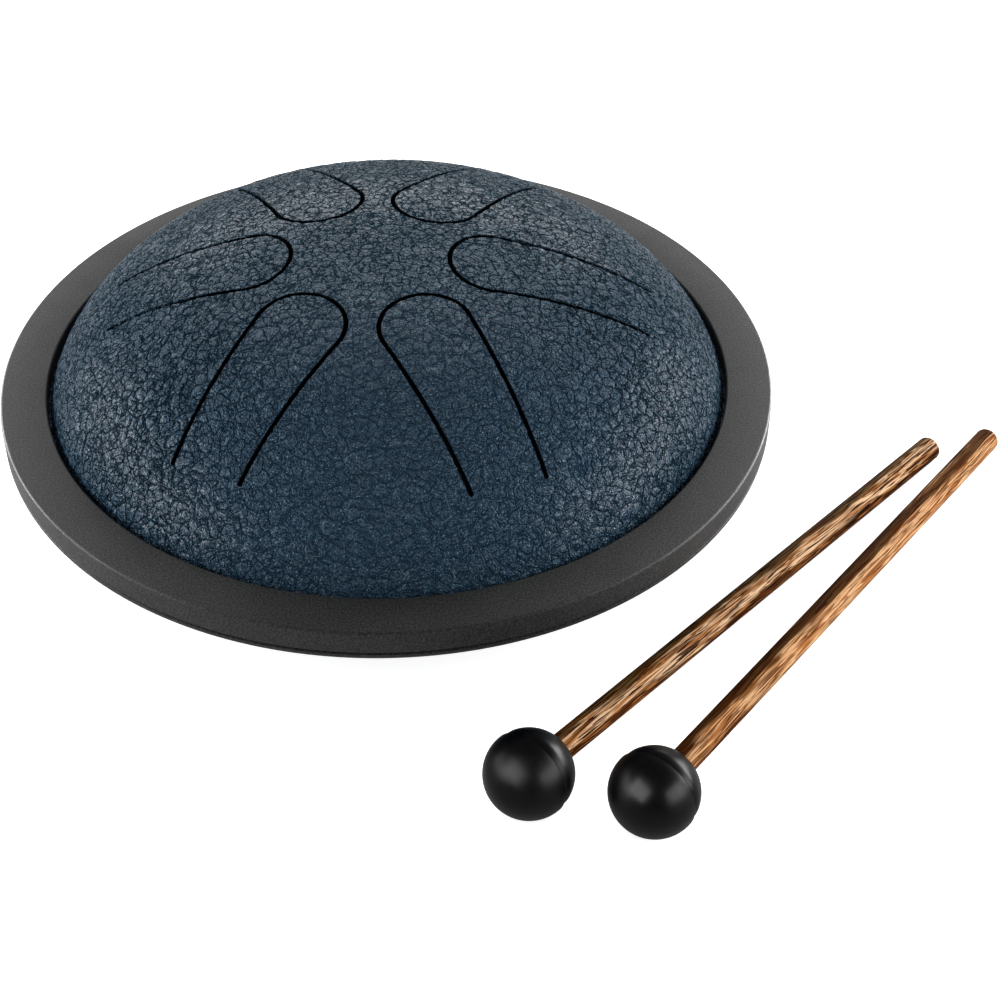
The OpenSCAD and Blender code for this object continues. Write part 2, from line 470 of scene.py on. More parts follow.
def in_drum(name, x, y, z):
    """A point of the tongue's own plan, moved to its place in the drum."""
    turn = first_turn + 360 / len(length_shares) * list(length_shares).index(name)
    spot = Matrix.Rotation(math.radians(turn), 3, "Z") @ Vector((x, y, z))
    return spot + Vector((pattern_x, pattern_y, 0))


def cutters(name, outline_of):
    """Six upright blocks with those outlines, in one mesh."""
    blocks = []
    for tongue in length_shares:
        points = [in_drum(tongue, x, y, dome_flange_z) for x, y in outline_of(tongue)]
        block = draw(name + "_" + tongue, points + points[:1])
        bpy.ops.mesh.remove_doubles(threshold=weld)
        bpy.ops.mesh.edge_face_add()
        bpy.ops.mesh.extrude_region_move(TRANSFORM_OT_translate={"value": (0, 0, dome_c)})
        face_outwards()
        blocks.append(block)
    return join(blocks)


# %% Cut the shell and the tongues
openings = cutters("opening", opening_outline)
blades = cutters("blade", tongue_outline)
shell = copy_of(blank, "pressed_top_shell")
apply(shell, "BOOLEAN", object=openings, operation="DIFFERENCE", solver="MANIFOLD")
cut_sheet = copy_of(blank, "cut_sheet")
apply(cut_sheet, "BOOLEAN", object=blades, operation="INTERSECT", solver="MANIFOLD")
throw_away(openings, blades, blank)
print("faces of the shell:", len(shell.data.polygons), "and of the tongues:", len(cut_sheet.data.polygons))

# %% Part the tongues
sharp_turn = 40


def smooth(piece):
    """Smooth shading, broken where the surface turns sharply."""
    pick(piece)
    bpy.ops.object.shade_smooth_by_angle(angle=math.radians(sharp_turn))


def middle_of(piece):
    """The middle of a mesh's box."""
    points = [vertex.co for vertex in piece.data.vertices]
    low = Vector([min(point[k] for point in points) for k in range(3)])
    high = Vector([max(point[k] for point in points) for k in range(3)])
    return (low + high) / 2


on_edges(cut_sheet)
bpy.ops.mesh.select_all(action="SELECT")
bpy.ops.mesh.separate(type="LOOSE")
mode("OBJECT")
loose = list(bpy.context.selected_objects)
tongues = {}
for name in length_shares:
    spot = in_drum(name, (tip_r + root_of(name)) / 2, 0, 0)
    tongue = min(loose, key=lambda piece: (middle_of(piece).xy - spot.xy).length)
    tongue.name = "cut_tongue_" + name
    tongues[name] = tongue

# %% Mark the depth in the sheet
# The slots are painted dark, as painted shade, and the skin isn't. Each point keeps a mark of where it lies in
# the sheet, so that a tongue that bends down takes its colours along. The mark is 1 on the dome's own curve
# and less below it.
for piece in (shell, *tongues.values()):
    marks = piece.data.attributes.new("near_skin", "FLOAT", "POINT")
    for point, mark in zip(piece.data.vertices, marks.data):
        wide = (point.co.xy.length / dome_a) ** dome_power
        high = (max(point.co.z - dome_centre_z, 0) / dome_c) ** dome_power
        mark.value = wide + high
print("points marked on the shell:", len(shell.data.attributes["near_skin"].data))

# %% Shade the tongues
# Each tongue is shaded smooth and baked in place, and the imported tongue it stands for is hidden.
bend_length = 15 * MM
for name, tongue in tongues.items():
    smooth(tongue)
    root_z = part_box("tongue_" + name)[0].z
    start = in_drum(name, root_of(name), 0, root_z)
    end = in_drum(name, root_of(name) - bend_length, 0, root_z)
    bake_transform(tongue)
    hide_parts("tongue_" + name)
smooth(shell)
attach(shell, "drum")
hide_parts("top_shell")
print("tongues:", [tongue.name for tongue in tongues.values()])

# %% [markdown]
# ## The bowl
# The lower shell is a flat-bottomed bowl with a sound hole, which the photograph doesn't show. It is pressed
# like the dome and wears the same coat. Its sound hole and the four holes for the feet are cut with plain
# cylinders, as a drill would cut them.

# %% Press the bowl
# The outer profile goes a skirt past the flange, which the trim takes off.
base_r = 50 * MM
bowl_skirt = 4 * MM
bowl_steps = 96
bowl_inner_steps = 24
bowl_cuts = 69
shoulder_w = mouth_r - base_r
bowl_h = bowl_flange_z - base_z
bowl_outer = [(0, base_z)] + arc(base_r, bowl_flange_z, shoulder_w, bowl_h, -90, 0, bowl_steps)
bowl_outer += [(mouth_r, bowl_flange_z + bowl_skirt)]
bowl_inner = [(0, base_z + sheet_t)]
inner_w = shoulder_w - sheet_t
inner_h = bowl_h - sheet_t
bowl_inner += arc(base_r, bowl_flange_z, inner_w, inner_h, -90, 0, bowl_inner_steps)
bowl_inner += [(mouth_r - sheet_t, seam_z)]
bowl = pressing("pressed_bottom_shell", bowl_outer, bowl_inner, bowl_cuts, bowl_flange_z, seam_z)

# %% Cut the holes of the bowl
sound_hole_r = 21 * MM
foot_place_r = 40 * MM
foot_turns = {"front_left": -135, "front_right": -45, "back_left": 135, "back_right": 45}
stem_hole_r = 2.6 * MM
bit_length = 20 * MM
sound_hole_steps = 192
stem_hole_steps = 48


def foot_place(name):
    """Where a foot stands."""
    turn = math.radians(foot_turns[name])
    return Vector((foot_place_r * math.cos(turn), foot_place_r * math.sin(turn), 0))


def drill(piece, place, r, steps):
    """Cuts an upright round hole through the base."""
    deselect()
    bpy.ops.mesh.primitive_cylinder_add(vertices=steps, radius=r, depth=bit_length, location=place)
    bit = bpy.context.object
    apply(piece, "BOOLEAN", object=bit, operation="DIFFERENCE", solver="MANIFOLD")
    throw_away(bit)


drill(bowl, (0, 0, base_z), sound_hole_r, sound_hole_steps)
for name in foot_turns:
    drill(bowl, foot_place(name), stem_hole_r, stem_hole_steps)
smooth(bowl)
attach(bowl, "drum")
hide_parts("bottom_shell")
print("faces of the bowl:", len(bowl.data.polygons))

# %% [markdown]
# ## The rubber rim
# The rim is one moulded rubber ring, stretched over the glued flanges. It is turned from its section: a flat
# top with rounded edges, an outer wall with the mould's parting groove near its foot, a lower lip that turns
# in under it, and a channel inside. A bevelled tube could start it, but one drawn section gives the groove
# and the channel in the same turn, and keeps them even all the way round.

# %% Turn the rim
rim_top_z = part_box("rim")[1].z
rim_low_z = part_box("rim")[0].z
rim_round = 0.6 * MM
rim_foot_w = 0.8 * MM
rim_foot_h = 1.3 * MM
lip_w = 3 * rim_foot_w
rim_inner_round = 0.5 * MM
parting_up = 1.75 * MM
parting_z = rim_low_z + parting_up
parting_half = 0.35 * MM
parting_depth = 0.8 * MM
rim_steps = 384
channel_gap = 0.2 * MM
channel_r = flange_r + channel_gap
seat_gap = 0.05 * MM


def groove(x, z, half, depth, steps):
    """A soft groove in an outer wall, from its lower edge to its upper one."""
    points = []
    for k in range(steps + 1):
        share = k / steps
        deep = depth * math.sin(math.pi * share) ** 1.5
        points.append((x - deep, z - half + 2 * half * share))
    return points


rim_profile = [(rim_in_r, rim_low_z), (rim_r - lip_w, rim_low_z)]
rim_profile += arc(rim_r - rim_foot_w, rim_low_z + rim_foot_h, rim_foot_w, rim_foot_h, -90, 0, 8)
rim_profile += groove(rim_r, parting_z, parting_half, parting_depth, 8)
rim_profile += arc(rim_r - rim_round, rim_top_z - rim_round, rim_round, rim_round, 0, 90, 10)
inner_edge = (rim_in_r + rim_inner_round, rim_top_z - rim_inner_round)
rim_profile += arc(*inner_edge, rim_inner_round, rim_inner_round, 90, 180, 6)
rim_profile += [(rim_in_r, flange_top_z + seat_gap), (channel_r, flange_top_z + seat_gap)]
rim_profile += [(channel_r, bowl_flange_z - seat_gap), (rim_in_r, bowl_flange_z - seat_gap)]
rim = turned("moulded_rim", rim_profile + rim_profile[:1], rim_steps)
smooth(rim)
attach(rim, "drum")
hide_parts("rim")
print("faces of the rim:", len(rim.data.polygons))

# %% [markdown]
# ## The feet
# Four rubber feet are pushed through the base. Each has a stem and a soft bead that holds it from inside.
# Stacked cylinders could make one, but a turned section rounds all its edges at once. One foot is turned at
# the origin, the four feet are copies of it with meshes of their own, and the first is thrown away.

# %% Turn one foot and copy it
foot_r = 6 * MM
foot_round = 0.9 * MM
neck_round = 0.4 * MM
stem_r = 2.5 * MM
bead_w = 1.2 * MM
bead_r = stem_r + bead_w
bead_gap = 0.05 * MM
bead_z = base_z + sheet_t + bead_gap
bead_h = 2 * MM
bead_round = 0.8 * MM
foot_steps = 96

foot_profile = [(0, 0)] + arc(foot_r - foot_round, foot_round, foot_round, foot_round, -90, 0, 8)
foot_profile += arc(foot_r - neck_round, base_z - neck_round, neck_round, neck_round, 0, 90, 5)
foot_profile += [(stem_r, base_z), (stem_r, bead_z), (bead_r, bead_z)]
foot_profile += arc(bead_r - bead_round, bead_z + bead_h - bead_round, bead_round, bead_round, 0, 90, 6)
foot_profile += [(0, bead_z + bead_h)]
first_foot = turned("foot", foot_profile, foot_steps)
smooth(first_foot)
feet = {}
for name in foot_turns:
    foot = copy_of(first_foot, "push_in_foot_" + name)
    foot.location = foot_place(name)
    pick(foot)
    bpy.ops.object.transform_apply()
    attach(foot, "drum")
    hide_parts("foot_" + name)
    feet[name] = foot
throw_away(first_foot)
print("feet:", len(feet))

# %% [markdown]
# ## The mallets
# A mallet is a hardwood dowel pressed into a moulded rubber ball. Both are turned standing up along Z, with
# the head's middle at the origin, and then laid beside the drum. The ball comes from a mould in two halves,
# and the half on the stick's side is a little smaller, so a step and a groove run round it. A ball and a
# cylinder would be quicker, but turned sections also give the step, the groove, the bore and rounded ends.

# %% Turn a stick and a head
head_r = 9.5 * MM
back_r = 9.38 * MM
# The seam lies a little on the stick's side of the middle, and its groove has one corner on the way down.
seam_x = 0.04 * head_r
seam_half = 0.18 * MM
seam_depth = 0.9 * MM
seam_corner = 0.4
# Behind the groove, the back half rises to its full radius over a short slope.
slope_w = 2.2 * MM
slope_dip = 0.55 * MM
slope_steps = 14
bore_r = 3.05 * MM
bore_end = -6.7 * MM
lip_round = 0.25 * MM
lip_corner = 0.3
head_steps = 192
stick_steps = 96
stick_r = 3 * MM
stick_start = -6.65 * MM
stick_end = 152.4 * MM
stick_round = 1 * MM
inner_round = 0.5 * MM


def ball_arc(r, first_x, last_x, steps):
    """Points (r, x) of a ball's outline between two distances along its axis."""
    first = math.degrees(math.asin(max(first_x / r, -1)))
    last = math.degrees(math.asin(last_x / r))
    return arc(0, 0, r, r, first, last, steps)


lip_x = math.sqrt(back_r**2 - (bore_r + lip_round) ** 2)
head_profile = [(0, -head_r)] + ball_arc(head_r, -head_r, seam_x - seam_half, 72)[1:]
seam_r = math.sqrt(back_r**2 - seam_x**2) - seam_depth
head_profile += [(seam_r + seam_corner * seam_depth, seam_x - seam_corner * seam_half), (seam_r, seam_x)]
slope_x = seam_x + seam_half
for k in range(slope_steps):
    share = k / slope_steps
    x = slope_x + slope_w * share
    head_profile.append((math.sqrt(back_r**2 - x**2) - slope_dip * (1 - share) ** 2, x))
head_profile += ball_arc(back_r, slope_x + slope_w, lip_x, 48)
head_profile += [(bore_r + lip_corner * lip_round, lip_x), (bore_r, lip_x - (1 - lip_corner) * lip_round)]
head_profile += [(bore_r, bore_end), (0, bore_end)]
stick_profile = [(0, stick_start)]
stick_profile += arc(stick_r - inner_round, stick_start + inner_round, inner_round, inner_round, -90, 0, 5)
stick_profile += arc(stick_r - stick_round, stick_end - stick_round, stick_round, stick_round, 0, 90, 10)
stick_profile += [(0, stick_end)]

# %% Lay the mallets beside the drum
# A mallet lies along a straight line past the rim. The turn is the line's direction in degrees, the gap is
# how near it comes to the rim, and the lead is how far the head lies before that place.
left_turn = 44.9
right_turn = 49.8
left_gap = 5.5 * MM
right_gap = 23 * MM
left_lead = 59 * MM
right_lead = 55.6 * MM


def lie(turn, gap, lead):
    """Where a mallet made standing on Z goes, to rest on its head and on the corner of its far end."""
    run = stick_end - stick_round
    drop = stick_r - stick_round
    dip = math.asin((head_r - stick_round) / math.hypot(run, drop)) - math.atan2(drop, run)
    turned_about = Matrix.Rotation(math.radians(turn), 4, "Z")
    moved = Matrix.Translation((-lead, -rim_r - gap, head_r))
    return turned_about @ moved @ Matrix.Rotation(dip + math.pi / 2, 4, "Y")


def laid(piece, place, body, stands_for):
    """Moves a finished piece to its place for good, and ties it to the frame."""
    pick(piece)
    piece.matrix_world = place
    bpy.ops.object.transform_apply()
    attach(piece, body)
    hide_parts(stands_for)


mallet_places = {
    "left": lie(left_turn, left_gap, left_lead),
    "right": lie(right_turn, right_gap, right_lead),
}
heads = {}
sticks = {}
for side, place in mallet_places.items():
    heads[side] = turned("rubber_head_" + side, head_profile, head_steps)
    sticks[side] = turned("wooden_stick_" + side, stick_profile, stick_steps)
    smooth(heads[side])
    smooth(sticks[side])
    laid(heads[side], place, "mallet_" + side, "head_" + side)
    laid(sticks[side], place, "mallet_" + side, "stick_" + side)
print("faces of a head:", len(heads["left"].data.polygons))

# %% [markdown]
# ## Finishes
# Each material is built from nodes on Object coordinates, because every piece sits at the origin, so its
# coordinates are its real place in metres. Effects that several finishes share are node groups.

# %% Groups of nodes
def new_group(name, inputs, outputs):
    """An empty shader group with those sockets, and its input and output nodes."""
    group = bpy.data.node_groups.new(name, "ShaderNodeTree")
    for label, kind, value in inputs:
        socket = group.interface.new_socket(label, in_out="INPUT", socket_type=kind)
        if value is not None:
            socket.default_value = value
    for label, kind in outputs:
        group.interface.new_socket(label, in_out="OUTPUT", socket_type=kind)
    return group, group.nodes.new("NodeGroupInput").outputs, group.nodes.new("NodeGroupOutput").inputs


def mixed(tree, share, a, b):
    """A colour between a and b."""
    made = node(tree, "ShaderNodeMix", {"Factor": share}, data_type="RGBA")
    for key, source in (("A", a), ("B", b)):
        socket = [s for s in made.inputs if s.name == key and s.type == "RGBA"][0]
        feed(tree, socket, (*source, 1) if isinstance(source, tuple) else source)
    return [s for s in made.outputs if s.type == "RGBA"][0]


vector = "NodeSocketVector"
number = "NodeSocketFloat"

# %% The mottle of moulded rubber
mottle, given, result = new_group(
    "rubber_mottle",
    [("Place", vector, None), ("Fine Size", number, 0.25), ("Broad Size", number, 9.0)],
    [("Fine", number), ("Broad", number)],
)
for label in ("Fine", "Broad"):
    scale = maths(mottle, "DIVIDE", 1 / MM, given[label + " Size"])
    blotches = node(mottle, "ShaderNodeTexNoise", {"Vector": given["Place"], "Scale": scale, "Detail": 3.0})
    mottle.links.new(blotches.outputs["Fac"], result[label])

# %% Dust in the pores
dust, given, result = new_group(
    "dust",
    [("Place", vector, None), ("Size", number, 0.5), ("Amount", number, 0.3)],
    [("Mask", number)],
)
scale = maths(dust, "DIVIDE", 1 / MM, given["Size"])
specks = node(dust, "ShaderNodeTexNoise", {"Vector": given["Place"], "Scale": scale, "Detail": 4.0})
dust_patch = 14 * MM
patches = noise(dust, given["Place"], dust_patch, 2.0)
speck = ramp(dust, specks.outputs["Fac"], 0.56, 0.72)
patch = ramp(dust, patches, 0.42, 0.62)
caught = maths(dust, "MULTIPLY", speck, patch)
dust.links.new(maths(dust, "MULTIPLY", caught, given["Amount"]), result["Mask"])
print("shared groups:", mottle.name, "and", dust.name)

# %% A material to fill
def new_material(name, **constants):
    """A material with one Principled shader. The constants go on the shader's own sockets."""
    material = bpy.data.materials.new(name)
    material.use_nodes = True
    tree = material.node_tree
    shader = tree.nodes["Principled BSDF"]
    for key, value in constants.items():
        shader.inputs[key.replace("_", " ")].default_value = value
    place = tree.nodes.new("ShaderNodeTexCoord").outputs["Object"]
    return material, tree, shader.inputs, place


def use(tree, group, **feeds):
    """A group placed in a tree."""
    named = {key.replace("_", " "): source for key, source in feeds.items()}
    return node(tree, "ShaderNodeGroup", named, node_tree=group).outputs


def bumped(tree, height, distance, strength):
    """A normal from a height, which counts in distances."""
    feeds = {"Height": height, "Distance": distance, "Strength": strength}
    return node(tree, "ShaderNodeBump", feeds).outputs["Normal"]


def wear(piece, material):
    """Gives a piece that one material."""
    piece.data.materials.clear()
    piece.data.materials.append(material)


# %% [markdown]
# ## The wrinkle coat
# Close up, the coat is navy with a leathery net of creases, a fine gritty grain, and here and there a
# hair-thin raised line. The broad cells are the ones that the relief already lifts. The smaller cells, the
# crumpled skin on them, the grain and the lines are bump, because they are finer than the faces. The grain's
# tips are glossy. The creases are painted dark and hold no gloss, as painted shade, and the grain's highest
# tips and the raised lines are painted pale, as painted glints.

# %% Paint the shells and tongues
# Painted shade in the creases.
crease_shade_colour = (0.003, 0.012, 0.020)
coat_deep = (0.0045, 0.028, 0.072)
coat_navy = (0.012, 0.074, 0.152)
# Painted glints on the grain's highest tips and on the raised lines.
glint_pale = (0.27, 0.45, 0.54)
# Painted shade inside the slots.
slot_shade_black = (0.001, 0.001, 0.001)
# Sizes of the fine pattern, in millimetres.
grain_size = 0.32
sub_cell_size = 1.15
sub_warp = 0.9
creased_patch = 3.0
# Half widths of the creases, as shares of their cells.
crack_w = 0.11
fine_crack_w = 0.14

coat, tree, paint, place = new_material(
    "blue_wrinkle_coat", Specular_IOR_Level=0.55, Specular_Tint=(0.82, 0.98, 1.0, 1.0), Coat_Roughness=0.25
)
mm_place, edge = coat_cells(tree, place)
sub_place = shifted(tree, mm_place, sub_warp, sub_warp)
sub_edge = cell_edge(tree, sub_place, sub_cell_size)
grain = noise(tree, mm_place, grain_size, 1.0, 0.6)
crack = ramp(tree, edge, 0.02, crack_w, 1.0, 0.0)
fine_crack = ramp(tree, sub_edge, 0.03, fine_crack_w, 1.0, 0.0)
creased = ramp(tree, noise(tree, mm_place, creased_patch, 1.0), 0.36, 0.52)
in_cracks = maths(tree, "MAXIMUM", crack, maths(tree, "MULTIPLY", fine_crack, creased))
# The grain's highest tips, which are painted pale below as painted glints.
speck = ramp(tree, grain, 0.62, 0.7)

# %% Where the creases are painted fainter
# Round one spot on the player's side, the creases are painted faint and bumped shallow. Away from it they are
# painted darker, as painted shade, and bumped deeper.
calm_x = 5 * MM
calm_y = -62 * MM
calm_r = 22 * MM
deep_r = 85 * MM
shallow = 0.3
deepest = 1.6
spot = node(tree, "ShaderNodeSeparateXYZ", {0: place}).outputs
away_x = maths(tree, "SUBTRACT", spot[0], calm_x)
away_y = maths(tree, "SUBTRACT", spot[1], calm_y)
depth = ramp(tree, far_from_zero(tree, away_x, away_y), calm_r, deep_r, shallow, deepest)
crease_shade = maths(tree, "MINIMUM", maths(tree, "MULTIPLY", in_cracks, depth), 1.0)

# %% Hair-thin raised lines
hair_cell_size = 6.5
hair_w = 0.022
hair_warp_size = 3.2
hair_warp = 2.4
hair_patch = 3.5
hair_place = shifted(tree, mm_place, hair_warp_size, hair_warp)
line = ramp(tree, cell_edge(tree, hair_place, hair_cell_size), 0.006, hair_w, 1.0, 0.0)
broken = ramp(tree, noise(tree, mm_place, hair_patch, 2.0), 0.5, 0.58)
hair = maths(tree, "MULTIPLY", line, broken)

# %% Painted shade in the slots
# Inside a slot the walls are painted near black, as painted shade, and so is the dome's inner side. The mark
# on
# the points says how deep a place lies: it is 1 on the skin and less below it.
cut_starts = 0.9945
cut_full = 0.986
seam_edge = 0.1 * MM
near_skin = node(tree, "ShaderNodeAttribute", attribute_name="near_skin").outputs["Fac"]
below_skin = ramp(tree, near_skin, cut_full, cut_starts, 1.0, 0.0)
in_dome = ramp(tree, spot[2], dome_flange_z - seam_edge, dome_flange_z)
slot_shade = maths(tree, "MULTIPLY", below_skin, in_dome)

# %% Colour of the coat
# How much of each layer shows over the ones below it.
crease_shade_cover = 0.75
glint_speck_cover = 0.6
hair_glint_cover = 0.3

body = mixed(tree, ramp(tree, grain, 0.38, 0.6), coat_deep, coat_navy)
# Painted shade: the creases are darkened, more so away from the calm spot.
body = mixed(tree, maths(tree, "MULTIPLY", crease_shade, crease_shade_cover), body, crease_shade_colour)
# Painted glints: the grain's highest tips and the raised lines are painted pale.
body = mixed(tree, maths(tree, "MULTIPLY", speck, glint_speck_cover), body, glint_pale)
body = mixed(tree, maths(tree, "MULTIPLY", hair, hair_glint_cover), body, glint_pale)
# Painted shade: the slots' walls are painted near black.
body = mixed(tree, slot_shade, body, slot_shade_black)
tree.links.new(body, paint["Base Color"])

# %% Relief and gloss of the coat
# Each layer of the height is a share of the bump's whole distance.
crumple_size = 1.5
sub_share = 0.7
grain_share = 0.35
hair_share = 0.35
crumple_share = 2.4
bump_h = 0.4 * MM
crease_shade_black = 0.85
tip_gloss = 0.75

height = ramp(tree, edge, 0.0, 0.1)
height = maths(tree, "MULTIPLY_ADD", ramp(tree, sub_edge, 0.0, 0.2), sub_share, height)
height = maths(tree, "MULTIPLY_ADD", ramp(tree, grain, 0.34, 0.66), grain_share, height)
height = maths(tree, "MULTIPLY_ADD", hair, hair_share, height)
crumple = maths(tree, "MULTIPLY", noise(tree, sub_place, crumple_size, 2.0, 0.6), depth)
wrinkled = maths(tree, "MULTIPLY_ADD", crumple, crumple_share, height)
dull = maths(tree, "MAXIMUM", in_cracks, slot_shade)
# Black metal reflects almost nothing, so the creases and the slot walls, made black metal, hold no gloss:
# painted shade.
black = maths(tree, "MAXIMUM", maths(tree, "MULTIPLY", crease_shade, crease_shade_black), slot_shade)
tree.links.new(black, paint["Metallic"])
tips = ramp(tree, grain, 0.38, 0.62, 0.0, tip_gloss)
shine = maths(tree, "MULTIPLY", tips, maths(tree, "SUBTRACT", 1.0, dull))
tree.links.new(shine, paint["Coat Weight"])
tree.links.new(ramp(tree, height, 0.9, 1.9, 0.85, 0.3), paint["Roughness"])
tree.links.new(bumped(tree, wrinkled, bump_h, 1.0), paint["Normal"])
for piece in (shell, bowl, *tongues.values()):
    wear(piece, coat)
print("nodes of the coat:", len(tree.nodes))

# %% [markdown]
# ## Rubber and adhesive
# The rim, the feet and the heads are three rubbers. They share the mottle and the dust, each with its own
# sizes. The rim is matte grey, and the heads are a smooth, almost black rubber with a soft shine. One
# function makes all three, because only such values differ. The adhesive hardly shows, so it keeps its
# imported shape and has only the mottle, in pale grey.

# %% Rubbers
dust_grey = (0.12, 0.12, 0.12)
mottle_h = 0.04 * MM
darkest = 0.6
palest = 2.2


def rubber(name, base, low, high, fine_size, bump, dust_amount, **constants):
    """A moulded rubber: its colour and gloss vary with the mottle, and dust sits in its pores."""
    material, tree, paint, place = new_material(name, **constants)
    spots = use(tree, mottle, Place=place, Fine_Size=fine_size)
    grey = use(tree, dust, Place=place, Amount=dust_amount)["Mask"]
    dark = tuple(darkest * value for value in base)
    pale = tuple(palest * value for value in base)
    skin = mixed(tree, ramp(tree, spots["Fine"], 0.38, 0.66), dark, pale)
    skin = mixed(tree, grey, skin, dust_grey)
    tree.links.new(skin, paint["Base Color"])
    tree.links.new(ramp(tree, spots["Broad"], 0.3, 0.7, low, high), paint["Roughness"])
    tree.links.new(bumped(tree, spots["Fine"], mottle_h, bump), paint["Normal"])
    return material


rim_look = {"low": 0.5, "high": 0.6, "fine_size": 0.42, "bump": 1.0, "dust_amount": 0.45, "IOR": 1.45}
rim_rubber = rubber("rim_rubber", (0.022, 0.022, 0.022), **rim_look)
foot_look = {"low": 0.5, "high": 0.65, "fine_size": 0.3, "bump": 0.4, "dust_amount": 0.35}
foot_rubber = rubber("foot_rubber", (0.014, 0.014, 0.014), **foot_look)
head_look = {"low": 0.27, "high": 0.4, "fine_size": 0.5, "bump": 0.12, "dust_amount": 0.0}
head_rubber = rubber("head_rubber", (0.0003, 0.0003, 0.0005), **head_look, Specular_IOR_Level=0.14)
wear(rim, rim_rubber)
for foot in feet.values():
    wear(foot, foot_rubber)
for head in heads.values():
    wear(head, head_rubber)

# %% Adhesive between the flanges
adhesive, tree, paint, place = new_material("adhesive", Roughness=0.6)
spots = use(tree, mottle, Place=place, Fine_Size=0.6)
adhesive_dark = (0.12, 0.12, 0.11)
adhesive_light = (0.2, 0.2, 0.19)
adhesive_bump_h = 0.1 * MM
tree.links.new(mixed(tree, spots["Broad"], adhesive_dark, adhesive_light), paint["Base Color"])
tree.links.new(bumped(tree, spots["Fine"], adhesive_bump_h, 0.5), paint["Normal"])
wear(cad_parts["seam_adhesive"], adhesive)

# %% [markdown]
# ## Striped hardwood
# The dowels are cut from a strongly striped wood: tan, with dark brown bands that run along the grain, wave
# and break up, and fine pale lines in the dark. A wave texture could draw stripes, but all of one width.
# Stretched noise varies them, on coordinates that a Mapping node turns back from the mallet's place, so that
# the grain runs along the stick.

# %% Stripes along a stick
wood_black = (0.010, 0.0025, 0.0004)
wood_brown = (0.110, 0.030, 0.004)
wood_olive = (0.17, 0.095, 0.032)
wood_umber = (0.062, 0.014, 0.002)
left_tan = (0.46, 0.175, 0.050)
left_pale = (0.88, 0.57, 0.33)
right_tan = (0.44, 0.16, 0.045)
right_pale = (0.80, 0.455, 0.225)
# The sticks are painted darker and browner towards their far ends: partly painted shade, which evens out the
# lamps' stronger light there, and partly the wood's browner tone. The wood's layers are stacked in this
# direction.
far_shade_and_tone = 0.3
layers = Vector((-0.507, 0.861, 0))
# The grain waves slowly: the size and reach of the waves in millimetres, and how far they are drawn out.
wave_size = 2.6
wave_reach = 1.5
wave_stretch = 0.16


def stick_grain(tree, object_place, place, seed):
    """The stick's own place in millimetres, how far across its layers it lies, and a maker of streaks."""
    feeds = {"Vector": object_place, "Location": place.translation, "Rotation": place.to_euler()}
    own = node(tree, "ShaderNodeMapping", feeds, vector_type="TEXTURE").outputs[0]
    in_mm = vectors(tree, "SCALE", {0: own, "Scale": 1 / MM})
    moved = vectors(tree, "ADD", {0: in_mm, 1: (seed, 2 * seed, 3 * seed)})
    slow = node(tree, "ShaderNodeMapping", {0: moved, "Scale": (1, 1, wave_stretch)}).outputs[0]
    wavy = shifted(tree, slow, wave_size, wave_reach)
    feeds = {0: in_mm, 1: layers}
    across = node(tree, "ShaderNodeVectorMath", feeds, operation="DOT_PRODUCT").outputs["Value"]

    def streaks(size, stretch, detail):
        """Noise drawn out along the stick."""
        scale = (1, 1, stretch / wave_stretch)
        squeezed = node(tree, "ShaderNodeMapping", {0: wavy, "Scale": scale}).outputs[0]
        return noise(tree, squeezed, size, detail)

    return in_mm, across, streaks


# %% Paint a stick
# Lengths along the stick and heights across its layers, in millimetres.
blur = 0.3
under_blur = 0.4
far_start = 60.0
far_end = 140.0
band_wave = 4.5
# Each kind of streak: its width in millimetres, its scale along the stick as a share of that across it, and
# its detail.
wave_streak = (2.6, 0.10, 2.0)
fine_streak = (0.42, 0.04, 1.0)
finer_streak = (0.3, 0.03, 1.0)
line_streak = (0.34, 0.025, 1.0)
tone_streak = (0.8, 0.06, 1.0)
pore_h = 0.05 * MM


